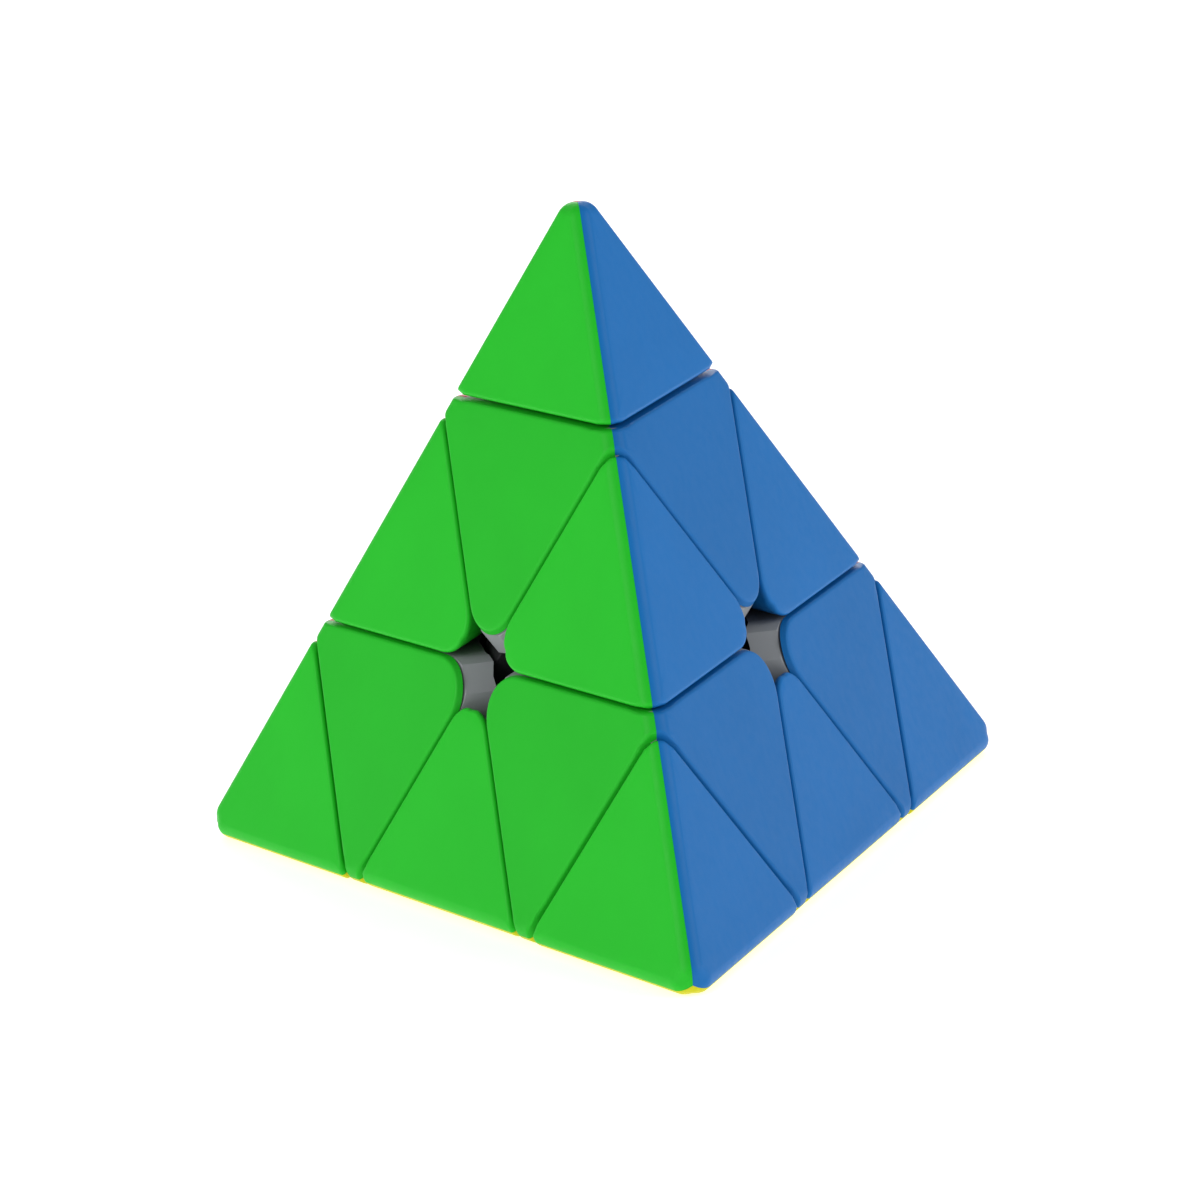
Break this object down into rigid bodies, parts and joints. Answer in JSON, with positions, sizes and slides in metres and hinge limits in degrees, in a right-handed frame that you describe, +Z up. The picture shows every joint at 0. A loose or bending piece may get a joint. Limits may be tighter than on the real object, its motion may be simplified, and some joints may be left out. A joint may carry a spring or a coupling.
{
  "type": "pyramid twisty puzzle",
  "caption": "Four-sided pyramid twisty puzzle with coloured plastic faces: turning corner layers and tips on a spring-loaded four-armed core.",
  "frame": {"origin": "middle of the core, where the four turning axes cross; it is also the pyramid's centroid", "axes": "+Z up through the top corner, -Z out of the yellow underside, -Y towards the front corner"},
  "size_m": [0.0968, 0.085, 0.0793],
  "materials": {
    "green_plastic": "satin",
    "blue_plastic": "satin",
    "yellow_plastic": "satin",
    "red_plastic": "satin",
    "inner_plastic": "satin",
    "core_plastic": "satin",
    "screw_steel": "satin",
    "spring_steel": "polished"
  },
  "bodies": {
    "core": {"core": "core_plastic", "screw_top": "screw_steel", "screw_front": "screw_steel", "screw_right": "screw_steel", "screw_left": "screw_steel", "spring_top": "spring_steel", "spring_front": "spring_steel", "spring_right": "spring_steel", "spring_left": "spring_steel"},
    "centre_top": {"centre_base_top": "inner_plastic", "centre_cap_top_red": "red_plastic", "centre_cap_top_green": "green_plastic", "centre_cap_top_blue": "blue_plastic"},
    "tip_top": {"tip_base_top": "inner_plastic", "tip_cap_top_red": "red_plastic", "tip_cap_top_green": "green_plastic", "tip_cap_top_blue": "blue_plastic"},
    "centre_front": {"centre_base_front": "inner_plastic", "centre_cap_front_yellow": "yellow_plastic", "centre_cap_front_green": "green_plastic", "centre_cap_front_blue": "blue_plastic"},
    "tip_front": {"tip_base_front": "inner_plastic", "tip_cap_front_yellow": "yellow_plastic", "tip_cap_front_green": "green_plastic", "tip_cap_front_blue": "blue_plastic"},
    "centre_right": {"centre_base_right": "inner_plastic", "centre_cap_right_yellow": "yellow_plastic", "centre_cap_right_red": "red_plastic", "centre_cap_right_blue": "blue_plastic"},
    "tip_right": {"tip_base_right": "inner_plastic", "tip_cap_right_yellow": "yellow_plastic", "tip_cap_right_red": "red_plastic", "tip_cap_right_blue": "blue_plastic"},
    "centre_left": {"centre_base_left": "inner_plastic", "centre_cap_left_yellow": "yellow_plastic", "centre_cap_left_red": "red_plastic", "centre_cap_left_green": "green_plastic"},
    "tip_left": {"tip_base_left": "inner_plastic", "tip_cap_left_yellow": "yellow_plastic", "tip_cap_left_red": "red_plastic", "tip_cap_left_green": "green_plastic"},
    "edge_top_front": {"edge_base_top_front": "core_plastic", "edge_cap_top_front_green": "green_plastic", "edge_cap_top_front_blue": "blue_plastic"},
    "edge_top_right": {"edge_base_top_right": "core_plastic", "edge_cap_top_right_red": "red_plastic", "edge_cap_top_right_blue": "blue_plastic"},
    "edge_top_left": {"edge_base_top_left": "core_plastic", "edge_cap_top_left_red": "red_plastic", "edge_cap_top_left_green": "green_plastic"},
    "edge_front_right": {"edge_base_front_right": "core_plastic", "edge_cap_front_right_yellow": "yellow_plastic", "edge_cap_front_right_blue": "blue_plastic"},
    "edge_right_left": {"edge_base_right_left": "core_plastic", "edge_cap_right_left_yellow": "yellow_plastic", "edge_cap_right_left_red": "red_plastic"},
    "edge_left_front": {"edge_base_left_front": "core_plastic", "edge_cap_left_front_yellow": "yellow_plastic", "edge_cap_left_front_green": "green_plastic"}
  },
  "joints": [
    {"name": "top_layer_turn", "type": "hinge", "parent": "core", "child": "centre_top", "pos_m": [0, 0, 0], "axis": [0, 0, 1], "range_deg": [-240, 120]},
    {"name": "front_layer_turn", "type": "hinge", "parent": "core", "child": "centre_front", "pos_m": [0, 0, 0], "axis": [0, -0.9428, -0.3333], "range_deg": [-240, 120]},
    {"name": "right_layer_turn", "type": "hinge", "parent": "core", "child": "centre_right", "pos_m": [0, 0, 0], "axis": [0.8165, 0.4714, -0.3333], "range_deg": [-240, 120]},
    {"name": "left_layer_turn", "type": "hinge", "parent": "core", "child": "centre_left", "pos_m": [0, 0, 0], "axis": [-0.8165, 0.4714, -0.3333], "range_deg": [-240, 120]},
    {"name": "top_tip_turn", "type": "hinge", "parent": "centre_top", "child": "tip_top", "pos_m": [0, 0, 0], "axis": [0, 0, 1], "continuous": true},
    {"name": "front_tip_turn", "type": "hinge", "parent": "centre_front", "child": "tip_front", "pos_m": [0, 0, 0], "axis": [0, -0.9428, -0.3333], "continuous": true},
    {"name": "right_tip_turn", "type": "hinge", "parent": "centre_right", "child": "tip_right", "pos_m": [0, 0, 0], "axis": [0.8165, 0.4714, -0.3333], "continuous": true},
    {"name": "left_tip_turn", "type": "hinge", "parent": "centre_left", "child": "tip_left", "pos_m": [0, 0, 0], "axis": [-0.8165, 0.4714, -0.3333], "continuous": true},
    {"name": "edge_top_front_turn", "type": "hinge", "parent": "centre_front", "child": "edge_top_front", "pos_m": [0, 0, 0], "axis": [0, 0, 1], "range_deg": [-240, 120]},
    {"name": "edge_top_right_turn", "type": "hinge", "parent": "centre_top", "child": "edge_top_right", "pos_m": [0, 0, 0], "axis": [0.8165, 0.4714, -0.3333], "range_deg": [-240, 120]},
    {"name": "edge_top_left_turn", "type": "hinge", "parent": "centre_top", "child": "edge_top_left", "pos_m": [0, 0, 0], "axis": [-0.8165, 0.4714, -0.3333], "range_deg": [-240, 120]},
    {"name": "edge_front_right_turn", "type": "hinge", "parent": "centre_front", "child": "edge_front_right", "pos_m": [0, 0, 0], "axis": [0.8165, 0.4714, -0.3333], "range_deg": [-240, 120]},
    {"name": "edge_right_left_turn", "type": "hinge", "parent": "centre_left", "child": "edge_right_left", "pos_m": [0, 0, 0], "axis": [0.8165, 0.4714, -0.3333], "range_deg": [-240, 120]},
    {"name": "edge_left_front_turn", "type": "hinge", "parent": "centre_left", "child": "edge_left_front", "pos_m": [0, 0, 0], "axis": [0, -0.9428, -0.3333], "range_deg": [-240, 120]}
  ],
  "couplings": [
    {"joint": "edge_top_front_turn", "follows": "top_layer_turn", "ratio": 1},
    {"joint": "edge_top_right_turn", "follows": "right_layer_turn", "ratio": 1},
    {"joint": "edge_top_left_turn", "follows": "left_layer_turn", "ratio": 1},
    {"joint": "edge_front_right_turn", "follows": "right_layer_turn", "ratio": 1},
    {"joint": "edge_right_left_turn", "follows": "right_layer_turn", "ratio": 1},
    {"joint": "edge_left_front_turn", "follows": "front_layer_turn", "ratio": 1}
  ]
}
